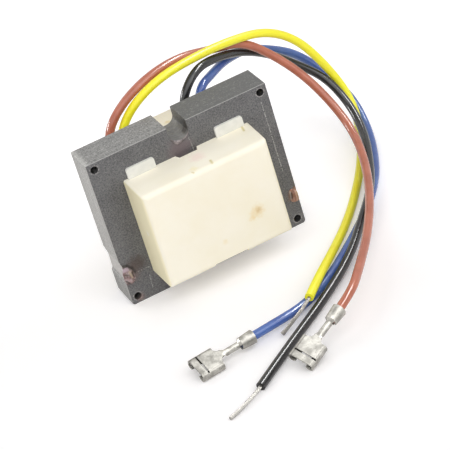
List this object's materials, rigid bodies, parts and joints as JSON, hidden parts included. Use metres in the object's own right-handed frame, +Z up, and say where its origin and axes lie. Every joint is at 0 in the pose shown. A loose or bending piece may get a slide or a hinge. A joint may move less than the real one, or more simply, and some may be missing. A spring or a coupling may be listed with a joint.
{
  "type": "control transformer",
  "caption": "Open-frame control transformer: butt-stacked, edge-welded E and I laminations, cream coil covers, and flying leads ending in push-on receptacles or bare strands.",
  "frame": {"origin": "middle of the core's foot, on the bottom edge of the I laminations and half way through the stack", "axes": "+X along the width of the laminations, -Y out of the front cover, +Z up from the I laminations to the E yoke"},
  "size_m": [0.0992, 0.12, 0.0537],
  "materials": {
    "core_steel": "steam-blued electrical steel, sheared edges",
    "weld_metal": "heat-tinted weld bead with light rust",
    "bobbin_nylon": "natural moulded nylon, slightly translucent",
    "magnet_wire": "enamelled copper",
    "coil_tape": "polyester tape",
    "cover_nylon": "cream moulded nylon, satin",
    "splice_sleeve": "shrunk sleeve",
    "brown_pvc": "extruded lead insulation, satin",
    "yellow_pvc": "extruded lead insulation, satin",
    "black_pvc": "extruded lead insulation, satin",
    "blue_pvc": "extruded lead insulation, satin",
    "tinned_brass": "bright tin plate over brass strip",
    "tinned_copper": "tinned copper strands"
  },
  "bodies": {
    "root": {"e_laminations": "core_steel", "i_laminations": "core_steel", "top_weld": "weld_metal", "left_weld": "weld_metal", "right_weld": "weld_metal", "bobbin": "bobbin_nylon", "primary_winding": "magnet_wire", "secondary_winding": "magnet_wire", "primary_tape": "coil_tape", "secondary_tape": "coil_tape", "front_cover": "cover_nylon", "rear_cover": "cover_nylon", "brown_splice": "splice_sleeve", "yellow_splice": "splice_sleeve", "black_splice": "splice_sleeve", "blue_splice": "splice_sleeve", "brown_lead": "brown_pvc", "yellow_lead": "yellow_pvc", "black_lead": "black_pvc", "blue_lead": "blue_pvc", "brown_terminal": "tinned_brass", "blue_terminal": "tinned_brass", "brown_strands": "tinned_copper", "yellow_strands": "tinned_copper", "black_strands": "tinned_copper", "blue_strands": "tinned_copper"}
  },
  "joints": []
}
